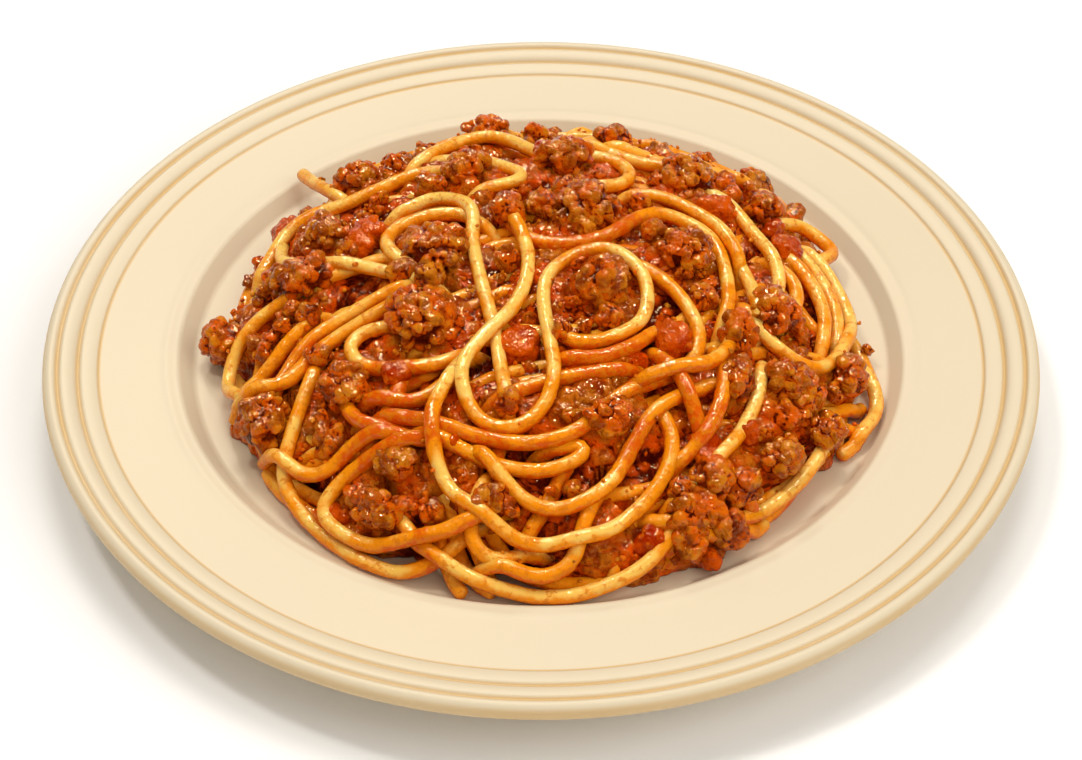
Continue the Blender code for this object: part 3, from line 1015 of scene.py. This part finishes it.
def build_mass(finish):
    """The mince and sauce between the noodles, as one bed of granules."""
    rings, segments = 170, 560
    share = np.linspace(0, 1, rings + 1)[1:]
    level = np.sin(share * math.pi / 2) ** (2 / DOME_BULGE)
    turn = np.arange(segments) * 2 * math.pi / segments
    x = (CENTRE[0] + HALF[0] * 0.9995 * level[:, None] * np.cos(turn)).ravel()
    y = (CENTRE[1] + HALF[1] * 0.9995 * level[:, None] * np.sin(turn)).ravel()
    ways = dome_normal(x, y)
    ways[-2 * segments :] = unit(ways[-2 * segments :] * (1, 1, 0.02))
    inset = mass_inset(x, y)
    points = np.column_stack([x, y, dome(x, y)]) - ways * inset[:, None]
    warped = bent(points, 1.3, 4.5, 81)
    big, shade, crease = pebbles(warped, 3.6, 82)
    small, small_shade, small_crease = pebbles(bent(points, 0.5, 2.0, 83), 1.9, 84)
    larger = big * 0.95 > small * 0.9 + 0.5
    choices = ((big * 0.95, small * 0.9 + 0.5), (shade, small_shade), (crease, small_crease))
    swell, shade, crease = (np.where(larger, a, b) for a, b in choices)
    rough = 0.2 * grain(points, 1.2, 85)
    points = points + ways * (swell + rough)[:, None]
    # depth is higher where the bed lies deep under the outline, low between pebbles and in creases; the
    # material lets sauce gather there and paints shade there.
    depth = np.clip(0.16 + (inset - 4) / 5 - (swell - 1.2) / 2.4 + 0.55 * crease, 0, 1)
    row, column = cells(points)
    np.maximum.at(TOP, (row, column), points[:, 2])
    last = (rings - 1) * segments
    floor = plate_top(*points.T[:2]) + NOODLE_GAP
    points[:, 2] = np.maximum(points[:, 2], floor)
    points[last:, 2] = floor[last:]
    crown = points[:segments].mean(axis=0)
    skirt = points[last:] * (0.97, 0.97, 0)
    skirt[:, 2] = plate_top(*skirt.T[:2]) + 0.12
    k, following = np.arange(segments), (np.arange(segments) + 1) % segments
    ring = np.arange(rings - 1)[:, None] * segments
    a, b = ring + k, ring + following
    c, d = b + segments, a + segments
    top, base = np.full(segments, len(points)), len(points) + 1
    middle = top + 1 + segments
    points = np.concatenate([points, crown[None], skirt, [[*CENTRE, DISH_HEIGHT + 0.12]]])
    corners = (
        (a, d, c), (a, c, b), (top, k, following), (last + k, base + k, base + following),
        (last + k, base + following, last + following), (base + following, base + k, middle),
    )
    faces = np.concatenate([np.stack(corner, -1).reshape(-1, 3) for corner in corners])
    extra = np.full(segments + 2, 0.5)
    values = {"tone": np.concatenate([shade, extra]), "depth": np.concatenate([depth, extra])}
    return add_object(make_mesh("mince_mass", points, [faces], values), finish)


def bed_noodles(mass):
    """Presses the mass down under the noodles on show, so that it buries none of them."""
    points = np.empty(len(mass.data.vertices) * 3)
    mass.data.vertices.foreach_get("co", points)
    points = points.reshape(-1, 3) / MM
    row, column = cells(points)
    points[:, 2] = np.minimum(points[:, 2], SHOWN_LEVEL[row, column] - 0.5)
    mass.data.vertices.foreach_set("co", (points * MM).ravel())
    mass.data.update()


# ---- materials


class Nodes:
    """Builds a procedural material around one Principled shader."""

    def __init__(self, name):
        self.material = bpy.data.materials.new(name)
        self.material.use_nodes = True
        self.tree = self.material.node_tree
        self.shader = self.tree.nodes["Principled BSDF"]
        self.place = self.tree.nodes.new("ShaderNodeTexCoord").outputs["Object"]

    def link(self, source, target):
        self.tree.links.new(source, target)

    def set(self, node, key, value):
        if isinstance(value, bpy.types.NodeSocket):
            self.link(value, node.inputs[key])
        else:
            node.inputs[key].default_value = value

    def add(self, kind, **sockets):
        made = self.tree.nodes.new("ShaderNode" + kind)
        for key, value in sockets.items():
            self.set(made, key.replace("_", " "), value)
        return made

    def noise(self, scale, detail=2.0, rough=0.5, warp=0.0):
        sockets = {"Scale": scale, "Detail": detail, "Roughness": rough, "Distortion": warp}
        return self.add("TexNoise", Vector=self.place, **sockets).outputs["Fac"]

    def value(self, name):
        made = self.add("Attribute")
        made.attribute_name = name
        return made.outputs["Fac"]

    def math(self, kind, a, b=0.0, clamp=False):
        made = self.add("Math")
        made.operation = kind
        made.use_clamp = clamp
        self.set(made, 0, a)
        self.set(made, 1, b)
        return made.outputs[0]

    def plus(self, a, b, share):
        """a with a share of b added to it."""
        return self.math("ADD", a, self.math("MULTIPLY", b, share))

    def band(self, source, low, high, out_low=0.0, out_high=1.0):
        sockets = {"From_Min": low, "From_Max": high, "To_Min": out_low, "To_Max": out_high}
        made = self.add("MapRange", Value=source, **sockets)
        made.interpolation_type = "SMOOTHSTEP"
        return made.outputs["Result"]

    def mix(self, share, a, b):
        made = self.add("Mix")
        made.data_type = "RGBA"
        self.set(made, "Factor", share)
        for key, value in ((6, a), (7, b)):
            self.set(made, key, (*value, 1.0) if isinstance(value, tuple) else value)
        return made.outputs[2]

    def bump(self, height, distance, strength=1.0, normal=None):
        made = self.add("Bump", Height=height, Distance=distance, Strength=strength)
        if normal is not None:
            self.link(normal, made.inputs["Normal"])
        return made.outputs["Normal"]

    def finish(self, **sockets):
        for key, value in sockets.items():
            self.set(self.shader, key.replace("_", " "), value)
        return self.material


def pasta_material():
    n = Nodes("sauced_noodle")
    coat, tone = n.value("coat"), n.value("tone")
    film, fine, bits = n.noise(300, 3.0, 0.6), n.noise(850, 2.0, 0.5), n.noise(520, 2.5, 0.6)
    whole = n.band(n.plus(tone, film, 0.5), 0.3, 1.35)
    clean = n.mix(whole, (0.93, 0.40, 0.02), (0.98, 0.60, 0.125))
    # Sauce stains; through coat they also carry the painted shade on the noodle's lower sides and leave a
    # pale top as a painted highlight.
    stain_and_side_shade = n.band(n.plus(coat, film, 0.9), 0.4, 0.85)
    tinted = n.mix(stain_and_side_shade, clean, (0.90, 0.285, 0.004))
    thick = n.band(n.plus(coat, fine, 0.35), 0.72, 1.0)
    sauced = n.mix(thick, tinted, (0.70, 0.105, 0.001))
    speck = n.band(n.plus(bits, coat, 0.12), 0.57, 0.67)
    coloured = n.mix(n.math("MULTIPLY", speck, 0.75), sauced, (0.72, 0.2, 0.004))
    relief = n.bump(bits, 0.0008, 0.4)
    relief = n.bump(fine, 0.0004, 0.5, relief)
    return n.finish(
        Base_Color=coloured, Roughness=n.band(fine, 0.3, 0.7, 0.09, 0.2), Normal=relief, IOR=1.48,
        Specular_Tint=(1.0, 0.88, 0.66, 1.0),
        Subsurface_Weight=0.25, Subsurface_Scale=0.002, Subsurface_Radius=(1.0, 0.45, 0.15),
    )


# Tint of the shine on mince and tomato, which are wet with oily sauce.
WET_TINT = (1.0, 0.76, 0.46, 1.0)


def mince_material(name, pale=(0.63, 0.20, 0.006), deep=(0.33, 0.06, 0.0015), sauce=(0.72, 0.10, 0.0005)):
    n = Nodes(name)
    tone, depth = n.value("tone"), n.value("depth")
    broad, fine = n.noise(260, 2.0, 0.5), n.noise(620, 1.5, 0.5)
    meat = n.mix(n.band(n.plus(tone, broad, 0.8), 0.4, 1.3), deep, pale)
    flecked = n.mix(n.band(n.noise(900, 2.0), 0.52, 0.75, 0.0, 0.4), meat, (0.72, 0.27, 0.02))
    sauced_meat_and_painted_shade = n.mix(n.band(n.plus(n.noise(130), depth, 0.6), 0.4, 0.8), flecked, sauce)
    # Painted shade: where depth marks creases and hollows, the colour turns almost black-red, as shadow
    # would.
    sauced_meat_and_painted_shade = n.mix(n.band(depth, 0.24, 0.78, 0.0, 0.96), sauced_meat_and_painted_shade, (0.075, 0.002, 0.0001))
    grit = n.noise(360, 2.0, 0.5, 0.6)
    # Painted shade in the low places of the grit relief, the same noise that the bump below uses.
    sauced_meat_and_painted_shade = n.mix(n.band(grit, 0.48, 0.34, 0.0, 0.65), sauced_meat_and_painted_shade, (0.17, 0.008, 0.0003))
    relief = n.bump(grit, 0.002, 0.7)
    relief = n.bump(n.noise(800, 1.0, 0.4), 0.0007, 0.7, relief)
    return n.finish(
        Base_Color=sauced_meat_and_painted_shade, Roughness=n.band(fine, 0.3, 0.7, 0.05, 0.12), Normal=relief, IOR=1.55,
        Specular_Tint=WET_TINT,
        Subsurface_Weight=0.15, Subsurface_Scale=0.0015, Subsurface_Radius=(1.0, 0.3, 0.1),
    )


def tomato_material():
    n = Nodes("stewed_tomato")
    tone = n.value("tone")
    broad, fine = n.noise(240, 2.0, 0.5), n.noise(560, 2.0, 0.5)
    mixed = n.plus(n.math("MULTIPLY", tone, 0.7), fine, 0.7)
    flesh = n.mix(n.band(mixed, 0.35, 1.0), (0.34, 0.014, 0.0), (0.66, 0.085, 0.0005))
    flesh = n.mix(n.band(n.noise(500, 2.0), 0.55, 0.75, 0.0, 0.6), flesh, (0.78, 0.17, 0.004))
    relief = n.bump(broad, 0.0016, 0.8)
    relief = n.bump(n.noise(850, 1.5), 0.0008, 0.8, relief)
    return n.finish(
        Base_Color=flesh, Roughness=n.band(fine, 0.3, 0.7, 0.06, 0.12), Normal=relief, IOR=1.48,
        Specular_Tint=WET_TINT,
    )


# The glaze's tan lines: radius, width and strength.
TAN_LINES = (
    (GROOVES[1], 1.0, 0.85), (GROOVES[0], 0.9, 0.85), (BAND_RADIUS + 0.5, 0.65, 0.8),
    (PLATE_RADIUS, 1.1, 0.6),
)


def glaze_material():
    n = Nodes("ivory_glaze")
    split = n.add("SeparateXYZ", Vector=n.place)
    x, y = (n.math("MULTIPLY", split.outputs[k], split.outputs[k]) for k in (0, 1))
    radius = n.math("DIVIDE", n.math("SQRT", n.math("ADD", x, y)), MM)
    wobble = n.noise(28, 2.0)
    cloud = n.noise(9, 3.0)
    ivory = n.mix(n.band(cloud, 0.3, 0.7), (0.685, 0.578, 0.402), (0.705, 0.60, 0.425))
    lines = None
    for centre, width, strength in TAN_LINES:
        off = n.math("ABSOLUTE", n.math("SUBTRACT", radius, centre))
        line = n.band(off, width, 0.1, 0.0, strength)
        lines = line if lines is None else n.math("MAXIMUM", lines, line)
    lines = n.math("MULTIPLY", lines, n.band(wobble, 0.2, 0.8, 0.75, 1.15), clamp=True)
    glazed = n.mix(lines, ivory, (0.64, 0.40, 0.14))
    relief = n.bump(n.noise(160, 2.0), 0.0002, 0.12)
    return n.finish(
        Base_Color=glazed, Roughness=n.band(cloud, 0.3, 0.7, 0.5, 0.58), Normal=relief, IOR=1.4
    )


def floor_material():
    n = Nodes("pale_floor")
    tint = n.mix(n.band(n.noise(3.0), 0.3, 0.7), (0.93, 0.93, 0.93), (0.95, 0.95, 0.95))
    return n.finish(Base_Color=tint, Roughness=0.9)


# ---- stage


def build_stage():
    shape = bmesh.new()
    bmesh.ops.create_grid(shape, x_segments=2, y_segments=2, size=3.0)
    mesh = bpy.data.meshes.new("pale_floor")
    shape.to_mesh(mesh)
    shape.free()
    floor = placed(mesh)
    mesh.materials.append(floor_material())


# Lamps: name, the way they stand off, size, power, colour, and whether they only light matt surfaces
# or only gleam on glossy ones.
LAMP_DISTANCE = 3.0
WARM = (1.0, 0.86, 0.66)
LAMPS = (
    ("back", (0.05, 0.35, 0.93), 1.2, 26.0, (1.0, 0.98, 0.95), "matt"),
    ("key", (-0.35, 0.2, 0.91), 0.45, 22.0, (1.0, 0.97, 0.92), "both"),
    ("fill", (0.65, -0.25, 0.72), 2.0, 23.0, (1.0, 0.98, 0.95), "matt"),
    ("front", (0.4, -0.7, 0.6), 2.5, 14.0, (1.0, 0.97, 0.92), "matt"),
    ("gleam", (0.0, 0.42, 0.91), 0.45, 80.0, WARM, "gloss"),
    ("glint", (0.42, 0.3, 0.86), 0.22, 45.0, WARM, "gloss"),
    ("spark", (-0.2, 0.75, 0.63), 0.25, 50.0, WARM, "gloss"),
)


def light_scene():
    scene = bpy.context.scene
    world = bpy.data.worlds.new("studio")
    world.use_nodes = True
    glow = world.node_tree.nodes["Background"].inputs
    glow["Color"].default_value = (1.0, 0.95, 0.88, 1.0)
    glow["Strength"].default_value = 0.47
    world.cycles_visibility.glossy = False
    scene.world = world
    for name, way, size, power, colour, use in LAMPS:
        data = bpy.data.lights.new(name, "AREA")
        data.shape = "DISK"
        data.size, data.energy, data.color = size, power, colour
        lamp = placed(data)
        lamp.location = Vector(way).normalized() * LAMP_DISTANCE
        lamp.rotation_euler = (-Vector(way)).to_track_quat("-Z", "Y").to_euler()
        lamp.visible_diffuse, lamp.visible_glossy = use != "gloss", use != "matt"
    scene.view_settings.view_transform = "Standard"
    scene.view_settings.look = "None"
    scene.view_settings.exposure = 0.0


# Camera: distance from the middle of the rim, height of that middle, the rise of the view, how far
# it dips below the middle, and the focal length on a sensor 36 mm wide.
CAMERA_DISTANCE = 0.65
RIM_MIDDLE = 17.2 * MM
CAMERA_RISE = math.radians(41.77)
CAMERA_DIP = math.radians(1.033)
FOCAL_LENGTH = 89.2015


def add_camera():
    low, high = CAD_BOX
    middle = Vector(((low.x + high.x) / 2, (low.y + high.y) / 2, RIM_MIDDLE))
    data = bpy.data.cameras.new("camera")
    data.sensor_width = 36.0
    data.lens = FOCAL_LENGTH
    made = placed(data)
    way = Vector((0, -math.cos(CAMERA_RISE), math.sin(CAMERA_RISE)))
    made.location = middle + CAMERA_DISTANCE * way
    made.rotation_euler = (math.pi / 2 - CAMERA_RISE - CAMERA_DIP, 0, 0)
    bpy.context.scene.camera = made


def main():
    pasta = pasta_material()
    mince = mince_material("browned_mince")
    build_plate(glaze_material())

    fill_heap(UNDER_LENGTH, -5.6, 0.965)
    deep = len(NOODLES)
    mass = build_mass(
        mince_material("sauced_mince", (0.52, 0.13, 0.004), (0.28, 0.036, 0.001), (0.72, 0.075, 0.0005))
    )
    TOP[:] = np.where(reach(GRID_X, GRID_Y) < 0.97, np.minimum(TOP, dome(GRID_X, GRID_Y) - 3.4), TOP)
    lay_shown()
    bed_noodles(mass)
    fill_heap(REAR_LENGTH, -0.6, 0.975, region=lambda x, y: y > REAR, coats=(0.0, 0.4))
    build_noodles("noodles_under", NOODLES[:deep], 12, 1.5, pasta)
    shown = build_noodles("noodles_top", NOODLES[deep:], 14, 1.1, pasta)
    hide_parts("spaghetti")

    build_mince(mince)
    build_tomato(tomato_material())
    scatter(170, (1.4, 2.6), lambda p: (room_under(p) > 4.2) * clear_ground(p), 0.45)
    scatter(260, (1.2, 2.2), lambda p: np.where(room_under(p) > 1.2, 0.9, 0.1) * clear_ground(p), 0.4)
    build_granules("mince_granules", GRANULES, 3, mince)
    crumbs = len(GRANULES)
    scatter(1000, (0.3, 0.65), lambda p: np.where(on_show(p) > 0.3, 0.05, 0.9), 0.7)
    sauced = mince_material("sauced_crumbs", (0.85, 0.33, 0.02), (0.70, 0.22, 0.008))
    build_granules("mince_crumbs", GRANULES[crumbs:], 2, sauced)

    build_stage()
    light_scene()
    add_camera()


main()
